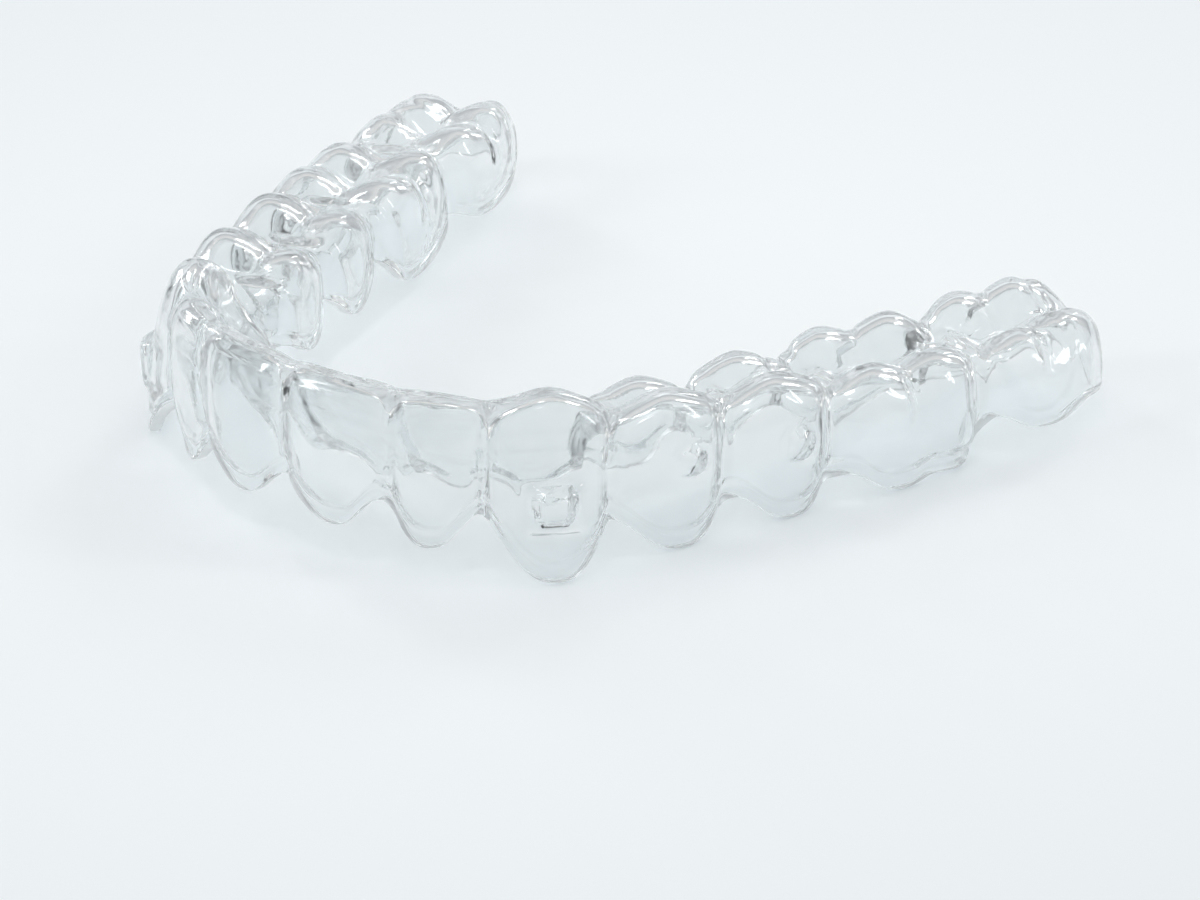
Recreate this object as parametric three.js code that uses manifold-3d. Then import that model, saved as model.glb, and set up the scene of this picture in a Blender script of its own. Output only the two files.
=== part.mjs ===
/*
 * Clear aligner for the upper teeth, a thin thermoformed shell worn over the whole row.
 *
 * Millimetres, +Z up. The biting side is up, the front teeth face -Y and the last molars lie
 * towards +Y. The shell is one piece: a hollow tooth row of nearly even wall, open below along
 * a scalloped rim. It lies as it comes to rest on a flat surface, with the origin on that
 * surface, in the middle of its footprint.
 *
 * The form is worked out in row coordinates. A point is (s, v, z): s runs along the middle of
 * the tooth row from the midline backwards, v points outwards to the cheek and z is the height
 * above the biting plane. One function, cavityField, gives the distance from the tooth surfaces,
 * and both sides of the wall are found on the same rays, so that they never cross.
 */
import * as THREE from 'three';
import { ConvexGeometry } from 'three/addons/geometries/ConvexGeometry.js';
import { mergeVertices } from 'three/addons/utils/BufferGeometryUtils.js';
import Module from 'manifold-3d';

const wasm = await Module();
wasm.setup();

// The sheet
const WALL = 0.75;
const LEAST_WALL = 0.6;

// The arch: half of the curve through the middle of the tooth row, as a cubic Bezier
const ARCH_HALF_SPREAD = 27.3;
const ARCH_DEPTH = 43.7;
const FRONT_FULLNESS = 12.4;
const CANINE_CORNER_X = 17.6;
const CANINE_CORNER_Y = 4.7;

// How far the forms of neighbouring teeth overlap, and how the edges are rounded
const CONTACT_OVERLAP = 0.15;
const INSIDE_ROUNDING = { edge: 0.8, join: 0.4 };
const OUTSIDE_ROUNDING = { edge: 1.2, join: 0.5 };
// How far the walls draw in towards the contacts
const CORNER_RECESS = 0.6;
const LEAST_HALF_DEPTH = 0.25;
// Filled width of the embrasure between two teeth, as a share of the row's depth there
const EMBRASURE_FILL = 0.62;

/*
 * The teeth of one side, from the midline backwards. Widths run along the row. The profiles
 * face (cheek side) and back (tongue side) give v from the biting edge to the neck in four
 * equal steps of height. rim is the lowest point of the trimmed edge on this tooth, or two of
 * them with the notch between, and gap its peak at the contact with the next tooth, for the
 * face and the back, as [height, shift], with the shift backwards from the middle of the tooth
 * or from the contact.
 */
const TEETH = [
  {
    name: 'central incisor', width: 7.15, top: -0.4, neck: -9.4, squareness: 3.4,
    face: [2.95, 3.3, 3.35, 3.1, 2.55], back: [2.15, 1.2, -0.4, -2.3, -3.1],
    core: -2.6, crest: 2.55, edge: { peak: 0, mesial: 0.02, distal: 0.04, corner: 0.6 },
    rim: { face: [[-9.65, 0.1]], back: [[-8.3, 0]] },
    gap: { face: [-7.2, -0.5], back: [-6.8, 0] },
  },
  {
    name: 'lateral incisor', width: 5.25, top: -0.55, neck: -9.4, squareness: 3,
    face: [2.85, 3.2, 3.3, 3.1, 2.6], back: [2.05, 1.0, -0.7, -2.4, -2.9],
    core: -2.8, crest: 2.45, edge: { peak: -0.3, mesial: 0.03, distal: 0.14, corner: 0.8 },
    rim: { face: [[-10.0, -0.5]], back: [[-8.2, 0]] },
    gap: { face: [-7.35, -0.5], back: [-6.8, 0] },
  },
  {
    name: 'canine', width: 6.35, top: -0.15, neck: -10.6, squareness: 2.8,
    face: [2.95, 3.9, 4.4, 4.65, 4.75], back: [1.95, 0.8, -1.3, -2.7, -3.0],
    core: -3.2, crest: 2.4, edge: { peak: 0.1, mesial: 0.5, distal: 0.5, corner: 0.5 },
    rim: { face: [[-11.3, 0.2]], back: [[-8.8, 0]] },
    gap: { face: [-8.1, 0.4], back: [-6.2, 0] },
  },
  {
    name: 'first premolar', width: 7.45, top: -1.1, neck: -10.2, squareness: 3.1,
    face: [3.55, 3.95, 4.0, 3.75, 3.35], back: [-2.6, -3.0, -3.15, -3.0, -2.6],
    core: -4.6, crest: 0.3, fossa: -3.2, ridge: -2.7,
    cusps: [[0.5, 2.5, -1.0], [0.2, -1.85, -1.85]],
    rim: { face: [[-10.5, 0.9]], back: [[-7.6, 0.6]] },
    gap: { face: [-7.75, 0.8], back: [-5.4, -0.3] },
  },
  {
    name: 'second premolar', width: 7.2, top: -1.2, neck: -9.6, squareness: 3.2,
    face: [3.6, 4.0, 4.05, 3.75, 3.3], back: [-3.2, -3.6, -3.75, -3.5, -3.1],
    core: -4.8, crest: 0, fossa: -3.2, ridge: -2.7,
    cusps: [[0.4, 2.45, -1.2], [0.2, -2.45, -1.55]],
    rim: { face: [[-9.8, 1.0]], back: [[-7.5, 0]] },
    gap: { face: [-7.25, 0.9], back: [-5.0, -0.5] },
  },
  {
    name: 'first molar', width: 10.5, top: -1.2, neck: -8.6, squareness: 4.2,
    face: [4.25, 4.75, 5.0, 4.8, 4.3], back: [-3.7, -4.1, -4.25, -4.0, -3.6],
    core: -5, crest: 0, fossa: -3.4, ridge: -2.6,
    cusps: [[-1.8, 3.1, -1.7], [2.9, 3.1, -1.6], [-2.1, -3.0, -1.3], [2.9, -2.6, -1.1]],
    grooves: { face: [0.05, 3.4], back: [0.6, 3] },
    rim: { face: [[-8.95, -0.5], [-8.35, 1.5], [-8.5, 4.2]], back: [[-7.85, -0.6]] },
    gap: { face: [-5.5, 1.1], back: [-5.5, 0.3] },
  },
  {
    name: 'second molar', width: 10, top: -1.0, neck: -7.2, squareness: 3.5,
    face: [4.0, 4.6, 4.95, 4.8, 4.4], back: [-3.8, -4.2, -4.3, -4.0, -3.65],
    core: -4.6, crest: 0, fossa: -3.2, ridge: -2.2,
    cusps: [[-0.9, 3.1, -1.6], [3.0, 2.6, -1.1], [-1.7, -3.0, -1.0], [2.7, -2.7, -0.75]],
    grooves: { face: [-0.15, 2.2], back: [0.5, 2.2] },
    rim: { face: [[-6.85, -0.1]], back: [[-6.7, -0.1]] },
    gap: { face: [-5.4, -1.9], back: [-4.7, 0.4] },
  },
];
const MIDLINE_GAP = { face: [-7.4, 0], back: [-6.8, 0] };

// How broad the low arcs of the rim are against its peaks
const SCALLOP_FULLNESS = 1.35;

// Share of the full width at each step of height from the biting edge to the neck
const WAIST = [0.93, 1, 1, 0.97, 0.9];
// Slopes of the cusps along and across the row, and how blunt their tips are
const CUSP_SLOPE_ALONG = 0.42;
const CUSP_SLOPE_ACROSS = 0.62;
const CUSP_BLUNTNESS = 0.6;
// The grooves between the cusps on the molars' walls, given as [place, length] per tooth
const GROOVE_DEPTH = 0.55;
const GROOVE_WIDTH = 0.75;

// Bumps over the bonded attachments, side +1 at +X, with the tooth's place in the row
const BUMP_WALL = 0.55;
const WEDGE = {
  width: 3.1, height: 3.2, ledge: 1.0, toe: 0.35, flank: 0.5, bevel: 0.25, level: -6.3, shift: 0.1,
};
const WEDGE_TEETH = [[1, 2], [-1, 2]];
const DOMES = [
  { tooth: 3, width: 2.5, height: 2.7, stand: 0.6, level: -4.5, shift: 1.15 },
  { tooth: 4, width: 2.6, height: 2.8, stand: 0.6, level: -4.6, shift: 0.95 },
];

// Mesh density: stations per tooth, rows per side of the shell, columns around the last molar
const STATIONS = [7, 5, 7, 7, 7, 10, 5];
const ROWS = 12;
const FAN_COLUMNS = 9;
// No ray of a section crosses more than the row itself
const LONGEST_RAY = ARCH_HALF_SPREAD;

// Places along the row
const starts = [0];
for (const tooth of TEETH) {
  starts.push(starts.at(-1) + tooth.width);
}
TEETH.forEach((tooth, i) => {
  tooth.middle = (starts[i] + starts[i + 1]) / 2;
});
const LAST = TEETH.at(-1);
const ROW_END = LAST.middle + 0.75 * (LAST.face[2] - LAST.back[2]) / 2;

const arch = new THREE.CubicBezierCurve(
  new THREE.Vector2(0, 0),
  new THREE.Vector2(FRONT_FULLNESS, 0),
  new THREE.Vector2(CANINE_CORNER_X, CANINE_CORNER_Y),
  new THREE.Vector2(ARCH_HALF_SPREAD, ARCH_DEPTH),
);
arch.arcLengthDivisions = 800;
const ARCH_LENGTH = arch.getLength();

/** Point of the shell from row coordinates; side is +1 at +X and -1 at -X. */
function place(side, s, v, z) {
  const t = THREE.MathUtils.clamp(s / ARCH_LENGTH, 0, 1);
  const middle = arch.getPointAt(t);
  const along = arch.getTangentAt(t);
  const past = s - t * ARCH_LENGTH;
  const x = middle.x + past * along.x + v * along.y;
  const y = middle.y + past * along.y - v * along.x;
  return new THREE.Vector3(side * x, y, z);
}

/** Smooth curve through evenly spaced values, t from 0 at the first to 1 at the last. */
function through(values, t) {
  const last = values.length - 1;
  const x = THREE.MathUtils.clamp(t, 0, 1) * last;
  const i = Math.min(Math.floor(x), last - 1);
  const f = x - i;
  const p1 = values[i];
  const p2 = values[i + 1];
  const m1 = (p2 - values[Math.max(i - 1, 0)]) / 2;
  const m2 = (values[Math.min(i + 2, last)] - p1) / 2;
  return p1 + f * (m1 + f * (3 * (p2 - p1) - 2 * m1 - m2 + f * (m1 + m2 - 2 * (p2 - p1))));
}

const smoothStep = (t) => {
  const c = THREE.MathUtils.clamp(t, 0, 1);
  return c * c * (3 - 2 * c);
};
const smoothMax = (a, b, k) => Math.max(a, b) + Math.max(k - Math.abs(a - b), 0) ** 2 / (4 * k);
const smoothMin = (a, b, k) => -smoothMax(-a, -b, k);
const blunt = (x) => Math.hypot(x, CUSP_BLUNTNESS) - CUSP_BLUNTNESS;

/** Depth of a molar's groove at (u, z) on one wall, fading out downwards. */
function grooveDepth(tooth, wall, u, z) {
  if (!tooth.grooves) {
    return 0;
  }
  const [at, length] = tooth.grooves[wall];
  const fade = 1 - smoothStep((tooth.top - z) / length);
  return GROOVE_DEPTH * fade * Math.exp(-(((u - at) / GROOVE_WIDTH) ** 2));
}

/**
 * Level of a tooth's rounded outline at (u, v, z), 1 on its side walls, and how fast the level
 * grows outwards in the plane.
 */
function outline(tooth, u, v, z) {
  const t = Math.max((tooth.top - z) / (tooth.top - tooth.neck), 0);
  const corner = Math.min(Math.abs(2 * u / tooth.width), 1) ** 6;
  const recess = CORNER_RECESS * corner * Math.min(0.35 + 2.5 * t, 1);
  const face = through(tooth.face, t) - grooveDepth(tooth, 'face', u, z) - recess;
  const back = through(tooth.back, t) + grooveDepth(tooth, 'back', u, z) + recess / 2;
  const length = (tooth.width / 2 + CONTACT_OVERLAP) * through(WAIST, t);
  const depth = Math.max((face - back) / 2, LEAST_HALF_DEPTH);
  const n = tooth.squareness;
  const along = Math.abs(u) / length;
  const across = Math.abs(v - (face + back) / 2) / depth;
  const level = Math.max((along ** n + across ** n) ** (1 / n), 0.05);
  const growth = Math.hypot(along ** (n - 1) / length, across ** (n - 1) / depth) / level ** (n - 1);
  return { level, growth };
}

/** Distance outwards from the side walls of one tooth. */
function sideDistance(tooth, u, v, z) {
  const h = 0.05;
  const { level, growth } = outline(tooth, u, v, z);
  const rise = Math.abs(outline(tooth, u, v, z + h).level - level) / h;
  return (level - 1) / Math.hypot(growth, Math.min(rise, growth));
}

/** Height of the biting surface of one tooth. */
function biteHeight(tooth, u, v) {
  if (tooth.edge) {
    const { peak, mesial, distal, corner } = tooth.edge;
    const from = u - peak;
    const fall = (from < 0 ? mesial : distal) * blunt(from);
    return tooth.top - fall - corner * Math.abs(2 * u / tooth.width) ** 6;
  }
  let height = tooth.fossa;
  for (const [cu, cv, cz] of tooth.cusps) {
    const cone = cz - CUSP_SLOPE_ALONG * blunt(u - cu) - CUSP_SLOPE_ACROSS * blunt(v - cv);
    height = smoothMax(height, cone, 0.5);
  }
  const inset = tooth.width / 2 - 1;
  const brim = tooth.ridge - 0.9 * blunt(Math.abs(u) - inset) - 0.03 * v * v;
  return smoothMax(height, brim, 0.5);
}

/** Distance outwards from the biting surface of one tooth. */
function biteDistance(tooth, u, v, z) {
  const h = 0.03;
  const height = biteHeight(tooth, u, v);
  const du = (biteHeight(tooth, u + h, v) - height) / h;
  const dv = (biteHeight(tooth, u, v + h) - height) / h;
  return (z - height) / Math.hypot(1, du, dv);
}

/** The two teeth whose middles lie on either side of s, and the share of the second. */
function neighbours(s) {
  let i = TEETH.findIndex((tooth) => tooth.middle > s);
  if (i === 0) {
    return [TEETH[0], TEETH[0], 0];
  }
  if (i < 0) {
    return [LAST, LAST, 0];
  }
  const before = TEETH[i - 1];
  const after = TEETH[i];
  return [before, after, (s - before.middle) / (after.middle - before.middle)];
}

/** Distance outwards from the tissue between the teeth, which keeps the embrasures shallow. */
function webDistance(s, v, z) {
  const [before, after] = neighbours(s);
  const walls = [before, after].map((tooth) => {
    const t = (tooth.top - z) / (tooth.top - tooth.neck);
    return [through(tooth.face, t), through(tooth.back, t)];
  });
  const face = Math.min(walls[0][0], walls[1][0]);
  const back = Math.max(walls[0][1], walls[1][1]);
  const side = Math.abs(v - (face + back) / 2) - EMBRASURE_FILL * (face - back) / 2;
  return Math.max(side, z - Math.min(before.core, after.core) - 0.8, s - ROW_END);
}

/** Distance outwards from the tooth row at row coordinates; negative inside the cavity. */
function cavityField(s, v, z, rounding) {
  let field = webDistance(s, v, z);
  TEETH.forEach((tooth) => {
    for (const middle of [tooth.middle, -tooth.middle]) {
      const u = middle > 0 ? s - middle : middle - s;
      if (Math.abs(u) < tooth.width / 2 + 3) {
        const sides = sideDistance(tooth, u, v, z);
        const bite = biteDistance(tooth, u, v, z);
        field = smoothMin(field, smoothMax(sides, bite, rounding.edge), rounding.join);
      }
    }
  });
  return field;
}

/** Value given per tooth, blended along the row. */
function along(key, s) {
  const [before, after, share] = neighbours(s);
  return THREE.MathUtils.lerp(before[key], after[key], smoothStep(share));
}

/** Lowest points and peaks of the trimmed edge along one wall, as [s, height]. */
function rimKeys(wall) {
  const keys = [[MIDLINE_GAP[wall][1], MIDLINE_GAP[wall][0]]];
  TEETH.forEach((tooth, i) => {
    for (const [height, shift] of tooth.rim[wall]) {
      keys.push([tooth.middle + shift, height]);
    }
    const [height, shift] = tooth.gap[wall];
    keys.push([starts[i + 1] + shift, height]);
  });
  return keys;
}

const RIM_KEYS = { face: rimKeys('face'), back: rimKeys('back') };

/** Height of the trimmed edge on one wall, a chain of scallops through its key points. */
function rimOfWall(wall, s) {
  const keys = RIM_KEYS[wall];
  const i = Math.min(Math.max(keys.findIndex(([at]) => at > s), 1), keys.length - 1);
  const k = s > keys.at(-1)[0] ? keys.length - 1 : i;
  const [from, to] = [keys[k - 1], keys[k]];
  const [low, high] = k % 2 === 0 ? [from, to] : [to, from];
  const t = THREE.MathUtils.clamp((s - low[0]) / (high[0] - low[0]), 0, 1);
  return THREE.MathUtils.lerp(low[1], high[1], smoothStep(t ** SCALLOP_FULLNESS));
}

/** Height of the trimmed edge; lean is +1 on the cheek side and -1 on the tongue side. */
function rimHeight(s, lean) {
  return THREE.MathUtils.lerp(rimOfWall('back', s), rimOfWall('face', s), (lean + 1) / 2);
}

/**
 * One ray of the section: w runs from 0 at the crest, where the ray points straight up, to 1
 * at the rim, where it lies flat. Its start sinks from the core of the tooth to the rim.
 */
function sectionRay(s, lean, w) {
  const angle = Math.PI / 2 * (1 - w / 0.7) * (w < 0.7 ? 1 : 0);
  const sink = Math.max(w - 0.36, 0) / 0.64;
  const core = along('core', s);
  return {
    out: Math.cos(angle),
    up: Math.sin(angle),
    v: along('crest', s) * (1 - sink),
    z: core + (rimHeight(s, lean) - core) * sink,
  };
}

/** Distance along a ray at which the field first reaches a level. */
function reach(field, level, from) {
  let near = from;
  let far = from;
  while (field(far) < level) {
    if (far > from + LONGEST_RAY) {
      throw new Error('a ray never leaves the tooth row');
    }
    near = far;
    far += 0.2;
  }
  for (let i = 0; i < 24; i += 1) {
    const middle = (near + far) / 2;
    if (field(middle) < level) {
      near = middle;
    } else {
      far = middle;
    }
  }
  return (near + far) / 2;
}

/** Inner and outer point of the wall in direction turn (0 = to the cheek) around the row. */
function wallPoints(side, s, turn, w) {
  const lean = Math.cos(turn);
  const rimAt = s + 4.8 * Math.sin(turn);
  const ray = sectionRay(s, lean, w);
  const rise = rimHeight(rimAt, lean) - rimHeight(s, lean);
  const z0 = ray.z + rise * Math.max(w - 0.36, 0) / 0.64;
  const point = (r) => [
    s + r * ray.out * Math.sin(turn),
    ray.v + r * ray.out * lean,
    z0 + r * ray.up,
  ];
  const inner = reach((r) => cavityField(...point(r), INSIDE_ROUNDING), 0, 0);
  const outer = reach((r) => cavityField(...point(r), OUTSIDE_ROUNDING), WALL, inner);
  return [inner, Math.max(outer, inner + LEAST_WALL)].map((r) => place(side, ...point(r)));
}

/** Places of the stations along one side, closer together near the contacts. */
function stationsOfSide() {
  const list = [];
  TEETH.forEach((tooth, i) => {
    const from = i === 0 ? 0 : starts[i];
    const to = tooth === LAST ? ROW_END : starts[i + 1];
    const n = STATIONS[i];
    for (let k = 0; k < n; k += 1) {
      const t = 2 * k / n - 1;
      const eased = tooth === LAST ? t : 0.55 * t + 0.45 * Math.sin(t * Math.PI / 2);
      list.push(from + (to - from) * (eased + 1) / 2);
    }
  });
  return [...list, ROW_END];
}

/**
 * The columns of the mesh, in order around the whole shell: the cheek side from the left end
 * to the right one, around the last molar, back on the tongue side and around the other end.
 * Each column runs from the crest (w = 0) to the rim (w = 1).
 */
function columnsAround() {
  const stations = stationsOfSide();
  const last = stations.length - 1;
  const columns = [];
  const add = (side, station, turn) => columns.push({ side, station, s: stations[station], turn });
  for (let i = last; i > 0; i -= 1) {
    add(-1, i, 0);
  }
  for (let i = 0; i <= last; i += 1) {
    add(1, i, 0);
  }
  for (let k = 1; k < FAN_COLUMNS; k += 1) {
    add(1, last, Math.PI * k / FAN_COLUMNS);
  }
  for (let i = last; i > 0; i -= 1) {
    add(1, i, Math.PI);
  }
  for (let i = 0; i <= last; i += 1) {
    add(-1, i, Math.PI);
  }
  for (let k = 1; k < FAN_COLUMNS; k += 1) {
    add(-1, last, Math.PI - Math.PI * k / FAN_COLUMNS);
  }
  return columns;
}

/** Closed skin of the shell: outer and inner surfaces joined along the rim. */
function shellGeometry() {
  const columns = columnsAround();
  const count = columns.length;
  const positions = [];
  const crest = new Map();
  const index = [[], []];
  columns.forEach((column, c) => {
    for (let row = 0; row <= ROWS; row += 1) {
      const key = `${column.side * column.station}`;
      if (row === 0 && crest.has(key)) {
        crest.get(key).forEach((id, layer) => index[layer].push(id));
      } else {
        const points = wallPoints(column.side, column.s, column.turn, row / ROWS);
        const ids = points.map((p) => positions.push(p.x, p.y, p.z) / 3 - 1);
        ids.forEach((id, layer) => index[layer].push(id));
        if (row === 0) {
          crest.set(key, ids);
        }
      }
    }
  });
  const at = (layer, c, row) => index[layer][(c % count) * (ROWS + 1) + row];
  const faces = [];
  const quad = (a, b, c, d) => {
    const corner = (id) => new THREE.Vector3().fromArray(positions, id * 3);
    const [pa, pb, pc, pd] = [a, b, c, d].map(corner);
    const split = pa.distanceTo(pc) <= pb.distanceTo(pd);
    const triangles = split ? [[a, b, c], [a, c, d]] : [[a, b, d], [b, c, d]];
    for (const triangle of triangles) {
      if (new Set(triangle).size === 3) {
        faces.push(...triangle);
      }
    }
  };
  for (let c = 0; c < count; c += 1) {
    for (let row = 0; row < ROWS; row += 1) {
      quad(at(1, c, row), at(1, c, row + 1), at(1, c + 1, row + 1), at(1, c + 1, row));
      quad(at(0, c, row), at(0, c + 1, row), at(0, c + 1, row + 1), at(0, c, row + 1));
    }
    quad(at(1, c, ROWS), at(0, c, ROWS), at(0, c + 1, ROWS), at(1, c + 1, ROWS));
  }
  const geometry = new THREE.BufferGeometry();
  geometry.setAttribute('position', new THREE.Float32BufferAttribute(positions, 3));
  geometry.setIndex(faces);
  return geometry;
}

/** Closed mesh as a solid for joining and cutting. */
function toSolid(geometry) {
  const bare = geometry.clone();
  bare.deleteAttribute('normal');
  bare.deleteAttribute('uv');
  const merged = mergeVertices(bare, 1e-5);
  return new wasm.Manifold(new wasm.Mesh({
    numProp: 3,
    vertProperties: Float32Array.from(merged.attributes.position.array),
    triVerts: Uint32Array.from(merged.index.array),
  }));
}

function toGeometry(solid) {
  const mesh = solid.getMesh();
  const geometry = new THREE.BufferGeometry();
  geometry.setAttribute('position', new THREE.BufferAttribute(mesh.vertProperties, 3));
  geometry.setIndex(new THREE.BufferAttribute(mesh.triVerts, 1));
  return geometry;
}

/** Outer face of the wall at (s, z) on the cheek side. */
function wallFace(s, z) {
  return reach((v) => cavityField(s, v, z, OUTSIDE_ROUNDING), WALL, 1);
}

/**
 * Bevelled block with a ledge along its top, thinning out towards its foot, with its flanks
 * leaning in. Its base follows the wall and reaches to the given depth behind the wall's outer
 * face.
 */
function wedgeGeometry(side, s, inset, depth) {
  const { width, height, ledge, toe, flank, bevel, level } = WEDGE;
  const half = width / 2 - inset;
  const points = [];
  for (const [z, stand, drop] of [
    [level + height / 2 - inset, ledge - inset, -bevel],
    [level - height / 2 + inset, toe - inset, bevel],
  ]) {
    const middle = wallFace(s, z);
    for (const sign of [-1, 1]) {
      const corner = s + sign * half;
      points.push(place(side, corner, wallFace(corner, z) - depth, z));
      points.push(place(side, corner, middle, z));
      points.push(place(side, corner - sign * flank, middle + stand, z + drop));
    }
  }
  return new ConvexGeometry(points);
}

/** Low rounded button. */
function domeGeometry(side, tooth, dome, inset, depth) {
  const s = tooth.middle + dome.shift;
  const face = wallFace(s, dome.level);
  const ball = new THREE.SphereGeometry(1, 12, 8);
  const position = ball.attributes.position;
  const stand = dome.stand - inset + depth;
  for (let i = 0; i < position.count; i += 1) {
    const v = face - depth + position.getZ(i) * stand;
    const u = position.getX(i) * (dome.width / 2 - inset);
    const z = dome.level + position.getY(i) * (dome.height / 2 - inset);
    position.setXYZ(i, ...place(side, s + u, v, z).toArray());
  }
  if (side < 0) {
    ball.index.array.reverse();
  }
  return ball;
}

/** Shell with its hollow attachment bumps. */
function shellSolid() {
  let solid = toSolid(shellGeometry());
  const bumps = [];
  for (const [side, i] of WEDGE_TEETH) {
    const s = TEETH[i].middle + WEDGE.shift;
    bumps.push([wedgeGeometry(side, s, 0, 0.4), wedgeGeometry(side, s, BUMP_WALL, WALL + 0.6)]);
  }
  for (const dome of DOMES) {
    const tooth = TEETH[dome.tooth];
    bumps.push([
      domeGeometry(1, tooth, dome, 0, 0.3),
      domeGeometry(1, tooth, dome, BUMP_WALL, WALL + 0.3),
    ]);
  }
  for (const [skin, hollow] of bumps) {
    solid = solid.add(toSolid(skin)).subtract(toSolid(hollow));
  }
  return solid;
}

/** Volume and centre of mass of a closed mesh. */
function massCentre(geometry) {
  const { position } = geometry.attributes;
  const corners = [0, 1, 2].map(() => new THREE.Vector3());
  const centre = new THREE.Vector3();
  let volume = 0;
  for (let i = 0; i < geometry.index.count; i += 3) {
    corners.forEach((corner, k) => corner.fromBufferAttribute(position, geometry.index.getX(i + k)));
    const [a, b, c] = corners;
    const part = a.dot(b.clone().cross(c)) / 6;
    volume += part;
    centre.addScaledVector(a.clone().add(b).add(c), part / 4);
  }
  return { volume, centre: centre.divideScalar(volume) };
}

/**
 * Turn about X that lets the shell lie still on a flat surface: the side view's lower outline
 * is a chain of straight supports, and it rests on the one below its centre of mass.
 */
function restTurn(geometry) {
  const { position } = geometry.attributes;
  const points = [];
  for (let i = 0; i < position.count; i += 1) {
    points.push([position.getY(i), position.getZ(i)]);
  }
  points.sort((a, b) => a[0] - b[0] || a[1] - b[1]);
  const chain = [];
  const bend = ([ay, az], [by, bz], [cy, cz]) => (by - ay) * (cz - az) - (bz - az) * (cy - ay);
  for (const point of points) {
    while (chain.length > 1 && bend(chain.at(-2), chain.at(-1), point) <= 0) {
      chain.pop();
    }
    chain.push(point);
  }
  const { centre } = massCentre(geometry);
  const k = chain.findIndex(([y]) => y > centre.y);
  const [from, to] = [chain[k - 1], chain[k]];
  return -Math.atan2(to[1] - from[1], to[0] - from[0]);
}

const form = toGeometry(shellSolid());
form.rotateX(restTurn(form));
form.computeBoundingBox();
const { min, max } = form.boundingBox;
form.translate(-(min.x + max.x) / 2, -(min.y + max.y) / 2, -min.z);

const clearPlastic = new THREE.MeshStandardMaterial({
  name: 'clear_plastic',
  color: '#e9eff3',
  roughness: 0.12,
  metalness: 0,
  transparent: true,
  opacity: 0.3,
});

const shell = new THREE.Mesh(form, clearPlastic);
shell.name = 'aligner_shell';

const group = new THREE.Group();
group.add(shell);
export default group;
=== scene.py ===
# %% [markdown]
# # A clear aligner
#
# A clear aligner is a thin shell, pressed from one warm sheet of clear plastic to the form of
# a row of teeth and then trimmed along the gum line. What the eye reads is not the plastic
# itself but its edges, its highlights and the way it bends what lies behind it. So this lesson
# spends its effort on two things: a smooth skin with a true wall thickness, because clear
# material shows both sides of the wall, and a material and light that make them visible.
#
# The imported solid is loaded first. It gives the frame that every size and place here is set in.

import math

import bpy
import numpy as np
from mathutils import Matrix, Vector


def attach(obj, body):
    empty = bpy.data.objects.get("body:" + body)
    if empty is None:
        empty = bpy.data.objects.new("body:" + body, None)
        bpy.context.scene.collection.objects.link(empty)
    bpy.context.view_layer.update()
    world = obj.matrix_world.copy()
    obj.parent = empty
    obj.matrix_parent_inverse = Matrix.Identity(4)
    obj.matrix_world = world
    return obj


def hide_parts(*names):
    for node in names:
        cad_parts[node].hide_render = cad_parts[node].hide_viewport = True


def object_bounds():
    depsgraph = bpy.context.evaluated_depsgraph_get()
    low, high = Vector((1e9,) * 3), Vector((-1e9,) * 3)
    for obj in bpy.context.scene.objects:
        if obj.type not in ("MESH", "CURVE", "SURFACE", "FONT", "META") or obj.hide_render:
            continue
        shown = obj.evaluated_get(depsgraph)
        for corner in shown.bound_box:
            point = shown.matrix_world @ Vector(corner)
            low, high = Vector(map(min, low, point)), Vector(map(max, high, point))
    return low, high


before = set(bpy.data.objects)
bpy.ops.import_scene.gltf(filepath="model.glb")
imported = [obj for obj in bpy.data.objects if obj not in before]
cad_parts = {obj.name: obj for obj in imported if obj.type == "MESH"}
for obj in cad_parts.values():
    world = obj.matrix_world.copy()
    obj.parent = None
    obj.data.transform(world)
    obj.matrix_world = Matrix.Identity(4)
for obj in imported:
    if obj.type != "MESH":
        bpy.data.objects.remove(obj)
cad_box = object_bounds()
print("solid's box in mm", [[round(1000 * c, 2) for c in corner] for corner in cad_box])

# %% [markdown]
# ## The tooth row in numbers
#
# Every size is in millimetres, in *row coordinates*: s runs along the middle of the tooth row
# from the midline backwards, v points outwards to the cheek, and z is the height above the
# biting plane. In these coordinates a curved row is straight, so one description of a tooth
# serves anywhere in it. Widths run along the row. The profiles `face` (cheek side) and `back`
# (tongue side) give v from the biting edge to the neck in four equal steps of height. Each cusp
# is (u, v, height), each groove (u, length), and each front edge (peak, slope towards the
# midline, slope away from it, drop at the corners), with u counted along the row from the middle
# of the tooth. `rim` is the low point of the trimmed edge, or two of them with the notch between,
# and `gap` its peak at the contact behind, as (height, shift), for the cheek and tongue sides.

# %% Sizes of the sheet and of the teeth
MM = 0.001
WALL = 0.75
LEAST_WALL = 0.51

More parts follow.
